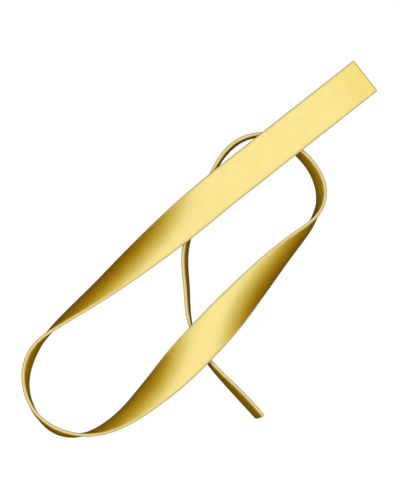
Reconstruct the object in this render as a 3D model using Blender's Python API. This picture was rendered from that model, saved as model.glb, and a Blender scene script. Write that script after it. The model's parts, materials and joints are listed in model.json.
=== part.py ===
"""A wind-on saxophone ligature: one flat gold strap, laid on a table in a loose twisted loop.

The strap is a rounded strip that follows one smooth route and turns about it as it goes. It lies
face up where it passes over itself, and stands on its long edge in the bends and along the tail.
Past its flat free end it also curls a little across its width, as a thin strap does when it is bent
and twisted. It is cut into spans, end to end: each free end is two spans on hinges, and the five
spans between them make one rigid loop that rests on the table.

Units are metres, +Z is up, and the table is at z = 0.
"""

from math import cos, hypot, pi, radians, sin

import bmesh
import bpy
import numpy as np
from mathutils import Vector

# Driving dimensions, in metres.
STRAP_WIDTH = 0.010
STRAP_THICKNESS = 0.0009
EDGE_RADIUS = 0.0003        # rounding of the four long corners
REST_GAP = 0.0003           # from the strap to the stretch of itself that it lies over
FLEX_GAP = 0.0003           # between two neighbouring spans
TAB_LENGTH = 0.0164         # straight free end, past the first route point
TAIL_TIP_LENGTH = 0.0084    # straight free end, past the last route point, to its longer edge
TAIL_SKEW = 0.0016          # how much shorter its other edge is, where the tail is cut askew
SECTION_SPACING = 0.0025    # most distance between two cross-sections
CORNER_STEPS = 2            # straight steps round each long corner
FACE_STEPS = 4              # straight steps across each face

# Heights of the strap's centre line. On its edge, it clears the table at any lean.
ON_EDGE_HEIGHT = hypot(STRAP_WIDTH, STRAP_THICKNESS) / 2
OVER_HEIGHT = 2 * ON_EDGE_HEIGHT + REST_GAP + STRAP_THICKNESS / 2

GOLD = (0.78, 0.58, 0.20, 1.0)
GOLD_METALLIC = 0.9
GOLD_ROUGHNESS = 0.38

# The route of the centre line, from the long free end to the tail: x and y in millimetres, the
# strap's turn about the route in degrees (0 is face up, 90 and 270 are on edge), its rise (0 stands
# on the table, 1 lies over a stretch that stands there), and its curl in degrees from edge to edge
# (above 0 swells the face that is up at turn 0, and below 0 swells the other face).
ROUTE = [
    (30.0, 34.5, 0, 1.0, 0),
    (18.0, 25.05, 0, 1.0, 0),
    (12.0, 20.3, 0, 1.0, 0),
    (6.0, 15.6, 1, 1.0, 2),
    (-0.41, 10.31, 6, 1.03, 18),
    (-6.89, 5.0, 17, 0.96, 42),
    (-13.42, -0.24, 31, 0.78, 62),
    (-23.08, -8.04, 53, 0.44, 72),
    (-32.79, -15.94, 77, 0.09, 60),
    (-38.12, -20.88, 90, 0.0, 20),
    (-42.79, -27.34, 98, 0.0, -52),
    (-44.42, -35.09, 93, 0.0, -40),
    (-42.25, -41.96, 88, 0.0, -10),
    (-36.8, -47.0, 86, 0.0, 42),
    (-30.2, -47.91, 90, 0.0, 6),
    (-23.9, -45.61, 102, 0.08, -56),
    (-16.08, -39.92, 127, 0.42, -74),
    (-9.44, -34.06, 149, 0.82, -62),
    (-3.14, -27.96, 170, 1.08, -32),
    (3.0, -21.6, 181, 1.12, -26),
    (10.26, -13.95, 203, 0.92, -54),
    (17.5, -6.27, 225, 0.56, -74),
    (24.84, 1.38, 250, 0.18, -72),
    (29.25, 6.86, 270, 0.01, -36),
    (31.02, 11.76, 279, 0.0, 32),
    (30.87, 16.11, 281, 0.0, 64),
    (28.96, 20.58, 280, 0.0, 62),
    (25.38, 24.75, 277, 0.0, 56),
    (20.72, 28.01, 274, 0.0, 46),
    (15.2, 29.25, 270, 0.0, 30),
    (9.43, 27.15, 270, 0.0, 36),
    (5.09, 22.37, 270, 0.0, 30),
    (0.46, 11.78, 270, 0.0, 36),
    (-3.44, -1.23, 272, 0.0, 44),
    (-3.09, -9.99, 271, 0.0, 40),
    (-2.56, -17.59, 270, 0.0, 24),
    (-0.62, -24.01, 270, 0.0, -12),
    (4.27, -31.2, 268, 0.0, -44),
    (10.16, -37.63, 263, 0.0, -56),
]

# Each span's name, and the route point at which it ends. The last one runs to the tail's end.
SPANS = [
    ("end_tab", 0),
    ("long_span", 3),
    ("twist_span", 8),
    ("lower_bend", 15),
    ("face_span", 23),
    ("right_bend", 30),
    ("under_span", 33),
    ("tail_span", 37),
    ("tail_tip", None),
]

# Each moving span, its parent span, and the route point on its hinge.
HINGES = [
    ("long_span", "twist_span", 3),
    ("end_tab", "long_span", 0),
    ("tail_span", "under_span", 33),
    ("tail_tip", "tail_span", 37),
]


def clear_scene():
    """Remove every object of the open scene."""
    for thing in list(bpy.data.objects):
        bpy.data.objects.remove(thing, do_unlink=True)


def route_points():
    """The route with both free ends, as rows of x, y, z in metres, and turn and curl in radians."""
    rows = []
    for x, y, turn, rise, curl in ROUTE:
        height = ON_EDGE_HEIGHT + rise * (OVER_HEIGHT - ON_EDGE_HEIGHT)
        rows.append((x / 1000, y / 1000, height, radians(turn), radians(curl)))
    rows = np.array(rows)
    return np.vstack([free_end(rows[1], rows[0], TAB_LENGTH), rows,
                      free_end(rows[-2], rows[-1], TAIL_TIP_LENGTH)])


def free_end(before, last, length):
    """The row that lies length straight on from last, level and with last's turn and curl."""
    heading = last[:2] - before[:2]
    end = last.copy()
    end[:2] += heading * length / np.linalg.norm(heading)
    return end


def spline_bends(knots, rows):
    """Second derivatives at the knots of the natural cubic spline through the rows."""
    step = np.diff(knots)
    slope = np.diff(rows, axis=0) / step[:, None]
    matrix = np.eye(len(knots))
    right = np.zeros_like(rows)
    for i in range(1, len(knots) - 1):
        matrix[i, i - 1:i + 2] = step[i - 1], 2 * (step[i - 1] + step[i]), step[i]
        right[i] = 6 * (slope[i] - slope[i - 1])
    return np.linalg.solve(matrix, right)


class Route:
    """The strap's centre line as a smooth curve, read by distance from the long free end."""

    def __init__(self, rows):
        chords = np.linalg.norm(np.diff(rows[:, :3], axis=0), axis=1)
        self.knots = np.concatenate([[0], np.cumsum(chords)])
        self.rows = rows
        self.bends = spline_bends(self.knots, rows)
        self.fine = np.linspace(0, self.knots[-1], 40 * len(rows))
        places = np.array([self.at_knot_value(value)[:3] for value in self.fine])
        pieces = np.linalg.norm(np.diff(places, axis=0), axis=1)
        self.travelled = np.concatenate([[0], np.cumsum(pieces)])
        self.length = float(self.travelled[-1])

    def at_knot_value(self, value):
        """Position, turn and curl at a value of the spline's own parameter."""
        i = int(np.clip(np.searchsorted(self.knots, value) - 1, 0, len(self.knots) - 2))
        step = self.knots[i + 1] - self.knots[i]
        after = (value - self.knots[i]) / step
        before = 1 - after
        bend = ((before**3 - before) * self.bends[i] + (after**3 - after) * self.bends[i + 1])
        return before * self.rows[i] + after * self.rows[i + 1] + bend * step**2 / 6

    def at(self, distance):
        """Position, turn and curl at a distance along the strap."""
        return self.at_knot_value(np.interp(distance, self.travelled, self.fine))

    def distance_of_point(self, index):
        """Distance along the strap of a point of ROUTE."""
        return float(np.interp(self.knots[index + 1], self.fine, self.travelled))

    def frame(self, distance):
        """Centre, direction across, normal of the first face, and curl, at a distance."""
        reach = 0.0001
        ahead = self.at(min(distance + reach, self.length))
        behind = self.at(max(distance - reach, 0))
        here = self.at(distance)
        along = Vector(ahead[:3] - behind[:3]).normalized()
        left = Vector((0, 0, 1)).cross(along).normalized()
        up = along.cross(left)
        turn, curl = here[3:].tolist()
        across = cos(turn) * left + sin(turn) * up
        return Vector(here[:3]), across, cos(turn) * up - sin(turn) * left, curl


def flat_outline():
    """Points round the strap's uncurled cross-section, as (across, normal) from its centre."""
    reach = STRAP_WIDTH / 2 - EDGE_RADIUS
    outline = []
    corners = [(1, 1, 0), (-1, 1, 90), (-1, -1, 180), (1, -1, 270)]
    for across_side, normal_side, first_angle in corners:
        centre_normal = normal_side * (STRAP_THICKNESS / 2 - EDGE_RADIUS)
        for step in range(CORNER_STEPS + 1):
            angle = radians(first_angle) + step * pi / 2 / CORNER_STEPS
            outline.append((across_side * reach + EDGE_RADIUS * cos(angle),
                            centre_normal + EDGE_RADIUS * sin(angle)))
        if across_side == normal_side:
            for step in range(1, FACE_STEPS):
                outline.append((normal_side * reach * (1 - 2 * step / FACE_STEPS),
                                normal_side * STRAP_THICKNESS / 2))
    return outline


def section_outline(curl):
    """Points round the strap's cross-section, bent through the curl about its middle."""
    if abs(curl) < 0.001:
        return flat_outline()
    bend = curl / STRAP_WIDTH
    middle = (2 * sin(curl / 2) / curl - 1) / bend
    outline = []
    for across, normal in flat_outline():
        angle = across * bend
        outline.append(((1 / bend + normal) * sin(angle),
                        (1 / bend + normal) * cos(angle) - 1 / bend - middle))
    return outline


def set_back(route, distance, across):
    """How far a point across the strap is set back along it, for the tail's skewed end."""
    share = max(0.0, 1 - (route.length - distance) / (TAIL_TIP_LENGTH / 2))
    return TAIL_SKEW * share * (across / STRAP_WIDTH + 0.5)


def satin_gold(name):
    """The strap's gold finish, as a material of the span's own."""
    material = bpy.data.materials.new(name + "_gold")
    material.use_nodes = True
    shader = material.node_tree.nodes["Principled BSDF"]
    shader.inputs["Base Color"].default_value = GOLD
    shader.inputs["Metallic"].default_value = GOLD_METALLIC
    shader.inputs["Roughness"].default_value = GOLD_ROUGHNESS
    material.diffuse_color = GOLD
    return material


def build_span(name, route, start, end, origin):
    """One closed stretch of the strap between two distances, with its origin at a world point."""
    count = max(2, round((end - start) / SECTION_SPACING) + 1)
    shape = bmesh.new()
    rings = []
    for distance in np.linspace(start, end, count).tolist():
        centre, across, normal, curl = route.frame(distance)
        along = across.cross(normal)
        rings.append([shape.verts.new(centre + a * across + n * normal - origin
                                      - set_back(route, distance, a) * along)
                      for a, n in section_outline(curl)])
    for ring, following in zip(rings, rings[1:]):
        for i in range(len(ring)):
            j = (i + 1) % len(ring)
            shape.faces.new((ring[i], ring[j], following[j], following[i]))
    shape.faces.new(rings[0])
    shape.faces.new(rings[-1])
    bmesh.ops.recalc_face_normals(shape, faces=shape.faces)
    mesh = bpy.data.meshes.new(name)
    shape.to_mesh(mesh)
    shape.free()
    mesh.shade_smooth()
    mesh.set_sharp_from_angle(angle=radians(40))
    mesh.materials.append(satin_gold(name))
    span = bpy.data.objects.new(name, mesh)
    span.location = origin
    bpy.context.collection.objects.link(span)
    return span


def build_strap():
    """Every span of the strap, each moving one with its origin on its hinge."""
    route = Route(route_points())
    origins = {}
    for name, _, index in HINGES:
        origins[name] = Vector(route.at(route.distance_of_point(index))[:3])
    spans = {}
    start = 0.0
    for name, index in SPANS:
        last = index is None
        joint = route.length if last else route.distance_of_point(index)
        end = joint if last else joint - FLEX_GAP / 2
        spans[name] = build_span(name, route, start, end, origins.get(name, Vector()))
        start = joint + FLEX_GAP / 2
    return spans


def parent_spans(spans):
    """Hang each moving span on its parent span, where it is."""
    bpy.context.view_layer.update()
    for name, parent, _ in HINGES:
        spans[name].parent = spans[parent]
        spans[name].matrix_parent_inverse = spans[parent].matrix_world.inverted()
        bpy.context.view_layer.update()


def main():
    """Build the whole strap."""
    clear_scene()
    parent_spans(build_strap())


main()
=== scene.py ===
"""The looks of a wind-on saxophone ligature: one satin gold strap, laid in a loose twisted loop.

The strap is swept along the same route as the CAD spans, with full-round edges. It is made in five
lengths that meet edge to edge.
"""

import json
from math import cos, hypot, pi, radians, sin

import bmesh
import bpy
import numpy as np
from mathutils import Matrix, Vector


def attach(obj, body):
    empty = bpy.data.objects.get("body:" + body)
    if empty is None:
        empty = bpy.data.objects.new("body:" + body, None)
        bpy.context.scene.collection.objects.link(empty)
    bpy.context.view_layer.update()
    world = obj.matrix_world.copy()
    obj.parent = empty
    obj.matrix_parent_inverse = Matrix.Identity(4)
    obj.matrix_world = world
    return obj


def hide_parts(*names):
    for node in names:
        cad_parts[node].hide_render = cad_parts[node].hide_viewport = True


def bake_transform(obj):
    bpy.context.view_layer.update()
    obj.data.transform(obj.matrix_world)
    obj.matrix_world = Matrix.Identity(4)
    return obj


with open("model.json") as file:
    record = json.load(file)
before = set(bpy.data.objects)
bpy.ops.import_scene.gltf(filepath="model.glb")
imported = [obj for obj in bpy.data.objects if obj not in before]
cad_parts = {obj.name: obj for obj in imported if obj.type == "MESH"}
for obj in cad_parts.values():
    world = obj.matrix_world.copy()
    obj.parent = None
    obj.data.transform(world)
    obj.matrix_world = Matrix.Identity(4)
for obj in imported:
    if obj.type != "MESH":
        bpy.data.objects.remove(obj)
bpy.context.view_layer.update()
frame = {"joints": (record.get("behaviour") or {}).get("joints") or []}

# The strap, in metres.
STRAP_WIDTH = 0.010
STRAP_THICKNESS = 0.0009
REST_GAP = 0.0003
TAB_LENGTH = 0.0164
TAIL_TIP_LENGTH = 0.0084
TAIL_SKEW = 0.0016
ON_EDGE_HEIGHT = hypot(STRAP_WIDTH, STRAP_THICKNESS) / 2
OVER_HEIGHT = 2 * ON_EDGE_HEIGHT + REST_GAP + STRAP_THICKNESS / 2

# Its surface.
SECTION_SPACING = 0.0005    # most distance between two cross-sections
EDGE_STEPS = 10             # straight steps round each long edge
FACE_STEPS = 20             # straight steps across each face
END_BEVEL = 0.00012         # softening of the two cut ends
HALF_ROUND = STRAP_WIDTH - STRAP_THICKNESS + pi * STRAP_THICKNESS / 2   # from crest to crest

# The route: x and y in millimetres, turn in degrees, rise (0 on the table, 1 over itself), and the
# curl across the strap in degrees from edge to edge (above 0 swells the strap's first face).
ROUTE = [
    (30.0, 34.5, 0, 1.0, 0),
    (18.0, 25.05, 0, 1.0, 0),
    (12.0, 20.3, 0, 1.0, 0),
    (6.0, 15.6, 1, 1.0, 2),
    (-0.41, 10.31, 6, 1.03, 18),
    (-6.89, 5.0, 17, 0.96, 42),
    (-13.42, -0.24, 31, 0.78, 62),
    (-23.08, -8.04, 53, 0.44, 72),
    (-32.79, -15.94, 77, 0.09, 60),
    (-38.12, -20.88, 90, 0.0, 20),
    (-42.79, -27.34, 98, 0.0, -52),
    (-44.42, -35.09, 93, 0.0, -40),
    (-42.25, -41.96, 88, 0.0, -10),
    (-36.8, -47.0, 86, 0.0, 42),
    (-30.2, -47.91, 90, 0.0, 6),
    (-23.9, -45.61, 102, 0.08, -56),
    (-16.08, -39.92, 127, 0.42, -74),
    (-9.44, -34.06, 149, 0.82, -62),
    (-3.14, -27.96, 170, 1.08, -32),
    (3.0, -21.6, 181, 1.12, -26),
    (10.26, -13.95, 203, 0.92, -54),
    (17.5, -6.27, 225, 0.56, -74),
    (24.84, 1.38, 250, 0.18, -72),
    (29.25, 6.86, 270, 0.01, -36),
    (31.02, 11.76, 279, 0.0, 32),
    (30.87, 16.11, 281, 0.0, 64),
    (28.96, 20.58, 280, 0.0, 62),
    (25.38, 24.75, 277, 0.0, 56),
    (20.72, 28.01, 274, 0.0, 46),
    (15.2, 29.25, 270, 0.0, 30),
    (9.43, 27.15, 270, 0.0, 36),
    (5.09, 22.37, 270, 0.0, 30),
    (0.46, 11.78, 270, 0.0, 36),
    (-3.44, -1.23, 272, 0.0, 44),
    (-3.09, -9.99, 271, 0.0, 40),
    (-2.56, -17.59, 270, 0.0, 24),
    (-0.62, -24.01, 270, 0.0, -12),
    (4.27, -31.2, 268, 0.0, -44),
    (10.16, -37.63, 263, 0.0, -56),
]

# Where one length of strap ends and the next begins, in metres from the long free end.
TAB_SEAM = 0.032
LOOP_SEAM = 0.107
CROSSING_SEAM = 0.281
TAIL_SEAM = 0.316
FLEX_REACH = 0.006          # how far each side of a hinge the route is read; the strap is not bent there

# The picture: how much of the table it shows from top to bottom, and the point under its middle.
FRAME_HEIGHT = 0.128866
FRAME_CENTRE = (0.00026, -0.00026)
CAMERA_HEIGHT = 4.0
SENSOR = 36.0

# The set.
FLOOR_SIZE = 6.0
FLOOR_DROP = 0.0001         # how far the floor lies under the strap's lowest edge
SOFTBOX_SIZE = 1.2
SOFTBOX_HEIGHT = 1.2
SOFTBOX_WATTS = 5


def place_camera():
    """A long lens, straight above the strap, with +Y up in the picture."""
    data = bpy.data.cameras.new("camera")
    data.sensor_width = SENSOR
    data.lens = SENSOR * (CAMERA_HEIGHT - ON_EDGE_HEIGHT) / FRAME_HEIGHT
    data.clip_start = 0.1
    data.clip_end = 50
    camera = bpy.data.objects.new("camera", data)
    camera.location = (*FRAME_CENTRE, CAMERA_HEIGHT)
    bpy.context.collection.objects.link(camera)
    bpy.context.scene.camera = camera


def build_floor():
    """A pale floor that takes a faint shadow and throws no light back."""
    mesh = bpy.data.meshes.new("floor")
    half = FLOOR_SIZE / 2
    corners = [(-half, -half, 0), (half, -half, 0), (half, half, 0), (-half, half, 0)]
    mesh.from_pydata(corners, [], [(0, 1, 2, 3)])
    mesh.materials.append(floor_white())
    floor = bpy.data.objects.new("floor", mesh)
    floor.location.z = -FLOOR_DROP
    floor.visible_glossy = False
    floor.visible_diffuse = False
    bpy.context.collection.objects.link(floor)


def floor_white():
    """Matt white that glows a little, so that the floor comes out plain and pale."""
    material = bpy.data.materials.new("floor_white")
    material.use_nodes = True
    shader = material.node_tree.nodes["Principled BSDF"]
    shader.inputs["Base Color"].default_value = (0.15, 0.15, 0.15, 1)
    shader.inputs["Roughness"].default_value = 0.9
    shader.inputs["Specular IOR Level"].default_value = 0
    shader.inputs["Emission Color"].default_value = (1, 1, 1, 1)
    shader.inputs["Emission Strength"].default_value = 0.95
    return material


def build_softbox():
    """A square soft light overhead that points straight down."""
    data = bpy.data.lights.new("overhead_softbox", "AREA")
    data.shape = "SQUARE"
    data.size = SOFTBOX_SIZE
    data.energy = SOFTBOX_WATTS
    light = bpy.data.objects.new("overhead_softbox", data)
    light.location = (0, 0, SOFTBOX_HEIGHT)
    light.visible_camera = False
    bpy.context.collection.objects.link(light)


def build_sky():
    """Soft light, strongest overhead and dim and warm from below, that looks white itself."""
    world = bpy.data.worlds.new("studio")
    bpy.context.scene.world = world
    world.use_nodes = True
    nodes, links = world.node_tree.nodes, world.node_tree.links
    nodes.clear()
    glow = nodes.new("ShaderNodeBackground")
    links.new(sky_colour(nodes, links), glow.inputs["Color"])
    backdrop = nodes.new("ShaderNodeBackground")
    backdrop.inputs["Color"].default_value = (1, 1, 1, 1)
    ray = nodes.new("ShaderNodeLightPath")
    seen = nodes.new("ShaderNodeMixShader")
    output = nodes.new("ShaderNodeOutputWorld")
    links.new(ray.outputs["Is Camera Ray"], seen.inputs["Fac"])
    links.new(glow.outputs[0], seen.inputs[1])
    links.new(backdrop.outputs[0], seen.inputs[2])
    links.new(seen.outputs[0], output.inputs["Surface"])


def sky_colour(nodes, links):
    """The colour of the light from each direction, by how far up that direction points."""
    direction = nodes.new("ShaderNodeTexCoord")
    split = nodes.new("ShaderNodeSeparateXYZ")
    height = nodes.new("ShaderNodeMapRange")
    height.inputs["From Min"].default_value = -1
    ramp = nodes.new("ShaderNodeValToRGB")
    paint_sky(ramp.color_ramp)
    links.new(direction.outputs["Generated"], split.inputs[0])
    links.new(split.outputs["Z"], height.inputs["Value"])
    links.new(height.outputs["Result"], ramp.inputs["Fac"])
    return ramp.outputs["Color"]


def paint_sky(stops):
    """The sky's colours, from straight down (0) through level (0.5) to straight up (1)."""
    stops.elements[0].position = 0.0
    stops.elements[0].color = (0.0, 0.0, 0.0, 1)
    stops.elements[1].position = 1.0
    stops.elements[1].color = (0.82, 0.90, 0.91, 1)
    for position, colour in ((0.5, (0.12, 0.0, 0.0, 1)), (0.62, (0.31, 0.04, 0.0, 1)),
                             (0.75, (0.58, 0.44, 0.15, 1)), (0.9, (0.77, 0.78, 0.71, 1))):
        stops.elements.new(position).color = colour


def route_points():
    """The route with both free ends, as rows of x, y, z in metres, and turn and curl in radians."""
    rows = []
    for x, y, turn, rise, curl in ROUTE:
        height = ON_EDGE_HEIGHT + rise * (OVER_HEIGHT - ON_EDGE_HEIGHT)
        rows.append((x / 1000, y / 1000, height, radians(turn), radians(curl)))
    rows = np.array(rows)
    return np.vstack([free_end(rows[1], rows[0], TAB_LENGTH), rows,
                      free_end(rows[-2], rows[-1], TAIL_TIP_LENGTH)])


def free_end(before, last, length):
    """The row that lies length straight on from last, level and with last's turn and curl."""
    heading = last[:2] - before[:2]
    end = last.copy()
    end[:2] += heading * length / np.linalg.norm(heading)
    return end


def spline_bends(knots, rows):
    """Second derivatives at the knots of the natural cubic spline through the rows."""
    step = np.diff(knots)
    slope = np.diff(rows, axis=0) / step[:, None]
    matrix = np.eye(len(knots))
    right = np.zeros_like(rows)
    for i in range(1, len(knots) - 1):
        matrix[i, i - 1:i + 2] = step[i - 1], 2 * (step[i - 1] + step[i]), step[i]
        right[i] = 6 * (slope[i] - slope[i - 1])
    return np.linalg.solve(matrix, right)


class Route:
    """The strap's centre line as a smooth curve, read by distance from the long free end."""

    def __init__(self, rows):
        chords = np.linalg.norm(np.diff(rows[:, :3], axis=0), axis=1)
        self.knots = np.concatenate([[0], np.cumsum(chords)])
        self.rows = rows
        self.bends = spline_bends(self.knots, rows)
        self.fine = np.linspace(0, self.knots[-1], 40 * len(rows))
        places = np.array([self.at_knot_value(value)[:3] for value in self.fine])
        pieces = np.linalg.norm(np.diff(places, axis=0), axis=1)
        self.travelled = np.concatenate([[0], np.cumsum(pieces)])
        self.length = float(self.travelled[-1])

    def at_knot_value(self, value):
        """Position, turn and curl at a value of the spline's own parameter."""
        i = int(np.clip(np.searchsorted(self.knots, value) - 1, 0, len(self.knots) - 2))
        step = self.knots[i + 1] - self.knots[i]
        after = (value - self.knots[i]) / step
        before = 1 - after
        bend = ((before**3 - before) * self.bends[i] + (after**3 - after) * self.bends[i + 1])
        return before * self.rows[i] + after * self.rows[i + 1] + bend * step**2 / 6

    def at(self, distance):
        """Position, turn and curl at a distance along the strap."""
        return self.at_knot_value(np.interp(distance, self.travelled, self.fine))

    def frame(self, distance):
        """Centre, direction across, normal of the first face, and curl, at a distance."""
        reach = 0.0001
        ahead = self.at(min(distance + reach, self.length))
        behind = self.at(max(distance - reach, 0))
        here = self.at(distance)
        along = Vector(ahead[:3] - behind[:3]).normalized()
        left = Vector((0, 0, 1)).cross(along).normalized()
        up = along.cross(left)
        turn, curl = here[3:].tolist()
        across = cos(turn) * left + sin(turn) * up
        return Vector(here[:3]), across, cos(turn) * up - sin(turn) * left, curl


def flat_outline(inset=0.0):
    """Points round the uncurled section, as (across, normal): two faces and two round edges."""
    radius = STRAP_THICKNESS / 2 - inset
    reach = (STRAP_WIDTH - STRAP_THICKNESS) / 2
    outline = []
    for side in (1, -1):
        for step in range(EDGE_STEPS + 1):
            angle = (step / EDGE_STEPS - 0.5) * pi
            outline.append((side * (reach + radius * cos(angle)), side * radius * sin(angle)))
        for step in range(1, FACE_STEPS):
            outline.append((side * reach * (1 - 2 * step / FACE_STEPS), side * radius))
    return outline


def section_outline(curl, inset):
    """Points round the strap's section, bent through the curl about its middle."""
    if abs(curl) < 0.001:
        return flat_outline(inset)
    bend = curl / STRAP_WIDTH
    middle = (2 * sin(curl / 2) / curl - 1) / bend
    outline = []
    for across, normal in flat_outline(inset):
        angle = across * bend
        outline.append(((1 / bend + normal) * sin(angle),
                        (1 / bend + normal) * cos(angle) - 1 / bend - middle))
    return outline


def set_back(route, distance, across):
    """How far a point across the strap is set back along it, for the tail's skewed end."""
    share = max(0.0, 1 - (route.length - distance) / (TAIL_TIP_LENGTH / 2))
    return TAIL_SKEW * share * (across / STRAP_WIDTH + 0.5)


def strap_rings(route, start, end):
    """Distance and inset of each cross-section of a length of strap."""
    count = max(2, round((end - start) / SECTION_SPACING) + 1)
    rings = [(float(distance), 0.0) for distance in np.linspace(start, end, count)]
    if start == 0:
        rings[0] = (0.0, END_BEVEL)
        rings.insert(1, (END_BEVEL, 0.0))
    if end == route.length:
        rings[-1] = (end - END_BEVEL, 0.0)
        rings.append((end, END_BEVEL))
    return rings


def add_rings(shape, route, start, end):
    """Add a length of strap's cross-sections, as pairs of distance and ring of vertices."""
    rings = []
    for distance, inset in strap_rings(route, start, end):
        centre, across, normal, curl = route.frame(distance)
        along = across.cross(normal)
        rings.append((distance, [shape.verts.new(centre + a * across + n * normal
                                                 - set_back(route, distance, a) * along)
                                 for a, n in section_outline(curl, inset)]))
    return rings


def add_skin(shape, rings):
    """Join the rings and close both ends, with a UV map of metres along and metres round."""
    unwrap = shape.loops.layers.uv.new("along_and_round")
    outline = flat_outline()
    gaps = [hypot(p[0] - q[0], p[1] - q[1]) for p, q in zip(outline, outline[1:] + outline[:1])]
    around = np.concatenate([[0], np.cumsum(gaps)])
    for (here, ring), (there, following) in zip(rings, rings[1:]):
        for i in range(len(ring)):
            j = (i + 1) % len(ring)
            face = shape.faces.new((ring[i], ring[j], following[j], following[i]))
            places = [(here, around[i]), (here, around[i + 1]),
                      (there, around[i + 1]), (there, around[i])]
            for loop, place in zip(face.loops, places):
                loop[unwrap].uv = place
    shape.faces.new(rings[0][1])
    shape.faces.new(rings[-1][1])
    bmesh.ops.recalc_face_normals(shape, faces=shape.faces)


def build_strap(name, route, start, end, material):
    """A closed length of strap between two distances."""
    shape = bmesh.new()
    add_skin(shape, add_rings(shape, route, start, end))
    mesh = bpy.data.meshes.new(name)
    shape.to_mesh(mesh)
    shape.free()
    mesh.shade_smooth()
    mesh.set_sharp_from_angle(angle=radians(50))
    mesh.materials.append(material)
    strap = bpy.data.objects.new(name, mesh)
    bpy.context.collection.objects.link(strap)
    return strap


class Nodes:
    """Adds nodes to one material, each fed by numbers or by other nodes' outputs."""

    def __init__(self, material):
        self.nodes = material.node_tree.nodes
        self.links = material.node_tree.links

    def add(self, kind, output, inputs, **settings):
        """A node of a kind, with its settings and inputs; gives the named output."""
        node = self.nodes.new(kind)
        for name, value in settings.items():
            setattr(node, name, value)
        for key, value in inputs.items():
            self.feed(node.inputs[key], value)
        return node.outputs[output]

    def feed(self, socket, value):
        """Give a socket a fixed value or another node's output."""
        if isinstance(value, bpy.types.NodeSocket):
            self.links.new(value, socket)
        else:
            socket.default_value = value

    def math(self, operation, first, second=0.0):
        """One sum on one or two values."""
        return self.add("ShaderNodeMath", "Value", {0: first, 1: second}, operation=operation)

    def fade(self, value, start, end, low=0.0, high=1.0):
        """A smooth change from low to high as the value goes from start to end."""
        inputs = {"Value": value, "From Min": start, "From Max": end, "To Min": low, "To Max": high}
        return self.add("ShaderNodeMapRange", "Result", inputs, interpolation_type="SMOOTHSTEP")

    def noise(self, place, scale, detail):
        """Soft noise at a place, stretched by a scale for each axis."""
        where = self.add("ShaderNodeVectorMath", "Vector", {0: place, 1: scale},
                         operation="MULTIPLY")
        inputs = {"Vector": where, "Scale": 1.0, "Detail": detail, "Roughness": 0.55}
        return self.add("ShaderNodeTexNoise", "Fac", inputs)

    def mix(self, share, first, second):
        """The first colour, with a share of the second."""
        inputs = {"Factor": share, 6: first, 7: second}
        return self.add("ShaderNodeMix", 2, inputs, data_type="RGBA")


def strap_places(nodes):
    """Distance along the strap, distance from the nearer edge's crest, and a place in both."""
    unwrap = nodes.add("ShaderNodeUVMap", "UV", {}, uv_map="along_and_round")
    split = nodes.nodes.new("ShaderNodeSeparateXYZ")
    nodes.links.new(unwrap, split.inputs[0])
    along, round_it = split.outputs["X"], split.outputs["Y"]
    past_crest = nodes.math("SUBTRACT", round_it, pi * STRAP_THICKNESS / 4)
    from_crest = nodes.math("PINGPONG", past_crest, HALF_ROUND / 2)
    angle = nodes.math("MULTIPLY", round_it, pi / HALF_ROUND)
    circle = {"X": along}
    for axis, wave in (("Y", "COSINE"), ("Z", "SINE")):
        circle[axis] = nodes.math("MULTIPLY", nodes.math(wave, angle), HALF_ROUND / pi)
    return along, from_crest, nodes.add("ShaderNodeCombineXYZ", "Vector", circle)


def edge_wear_and_highlight(nodes, from_crest, place):
    """How worn the finish is, with a painted highlight laid on the same place: most on the crest of
    each edge, none a millimetre in from it.
    """
    scuffs = nodes.noise(place, (700, 2500, 2500), 2.0)
    reach = nodes.math("ADD", from_crest, nodes.fade(scuffs, 0.3, 0.7, -0.0002, 0.0002))
    return nodes.fade(reach, 0.0014, 0.0003)


def strap_colour(nodes, wear_and_highlight, place):
    """Gold with soft blotches, paler on the edge crests, where it is worn and where a highlight is
    painted.
    """
    blotches = nodes.noise(place, (260, 300, 300), 3.0)
    gold = nodes.mix(nodes.fade(blotches, 0.3, 0.7), (0.79, 0.625, 0.002, 1),
                     (0.82, 0.655, 0.003, 1))
    # Painted highlight, partly edge wear: the edge crests go a pale, less saturated gold.
    return nodes.mix(nodes.math("MULTIPLY", wear_and_highlight, 0.8), gold, (0.86, 0.78, 0.40, 1))


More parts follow.
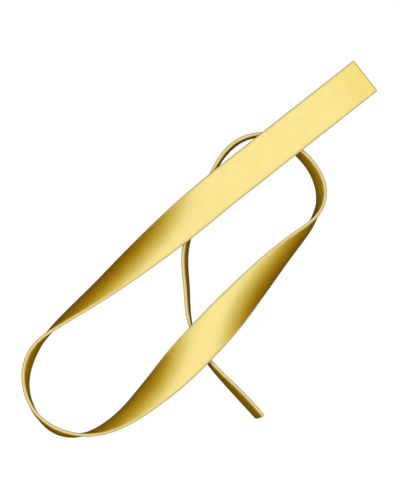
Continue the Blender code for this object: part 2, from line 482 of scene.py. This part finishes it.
def satin_gold():
    """Satin gold under a thin clear coat, with faint grain drawn along the strap."""
    material = bpy.data.materials.new("satin_gold")
    material.use_nodes = True
    nodes = Nodes(material)
    along, from_crest, place = strap_places(nodes)
    # The edge-crest mask: partly wear, partly a painted highlight.
    wear_and_highlight = edge_wear_and_highlight(nodes, from_crest, place)
    grain = nodes.noise(place, (900, 14000, 14000), 2.0)
    bump = nodes.add("ShaderNodeBump", "Normal",
                     {"Height": grain, "Strength": 0.25, "Distance": 0.00001})
    # Painted shade: the coat thins over the last 14 mm to the tab end, so the tip comes out darker.
    tip_shaded_coat = nodes.fade(along, 0.014, 0.0, 1.0, 0.70)
    shader = nodes.nodes["Principled BSDF"]
    nodes.feed(shader.inputs["Base Color"], strap_colour(nodes, wear_and_highlight, place))
    nodes.feed(shader.inputs["Roughness"], nodes.fade(grain, 0.25, 0.75, 0.60, 0.72))
    nodes.feed(shader.inputs["Normal"], bump)
    # On the edge crests, partly wear and partly a painted highlight, the finish is less metallic
    # and loses most of its coat.
    nodes.feed(shader.inputs["Metallic"], nodes.fade(wear_and_highlight, 0.0, 1.0, 0.85, 0.25))
    nodes.feed(shader.inputs["Coat Weight"],
               nodes.math("MULTIPLY", tip_shaded_coat, nodes.fade(wear_and_highlight, 0.0, 1.0, 1.0, 0.1)))
    shader.inputs["Coat Roughness"].default_value = 0.35
    shader.inputs["Coat IOR"].default_value = 2.4
    return material


def bend_over(strap, route, joint_name):
    """Find where the route passes nearest a joint and read the route either side of it, then bake
    the strap's transform; the strap is not bent.
    """
    joint = next(j for j in frame["joints"] if j["name"] == joint_name)
    hinge = Vector(joint["pos_m"])
    nearest = min(np.linspace(0, route.length, 2000),
                  key=lambda distance: (Vector(route.at(distance)[:3]) - hinge).length)
    before = route.at(nearest - FLEX_REACH)[:3]
    after = route.at(nearest + FLEX_REACH)[:3]
    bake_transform(strap)


def build_whole_strap():
    """The strap's five lengths, in place of its CAD spans, which are hidden; only the loop is put
    on its body.
    """
    route = Route(route_points())
    gold = satin_gold()
    seams = [0, TAB_SEAM, LOOP_SEAM, CROSSING_SEAM, TAIL_SEAM, route.length]
    names = ["strap_tab", "strap_long_end", "strap_loop", "strap_crossing", "strap_tail"]
    lengths = {name: build_strap(name, route, start, end, gold)
               for name, start, end in zip(names, seams, seams[1:])}
    bend_over(lengths["strap_tab"], route, "tab_flex")
    bend_over(lengths["strap_long_end"], route, "long_end_lift")
    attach(lengths["strap_loop"], "loop")
    bend_over(lengths["strap_crossing"], route, "tail_swing")
    bend_over(lengths["strap_tail"], route, "tail_end_swing")
    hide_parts("end_tab")
    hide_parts("long_span", "twist_span")
    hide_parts("lower_bend", "face_span", "right_bend")
    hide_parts("under_span")
    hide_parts("tail_span", "tail_tip")


place_camera()
build_floor()
build_softbox()
build_sky()
bpy.context.scene.view_settings.view_transform = "Standard"
build_whole_strap()
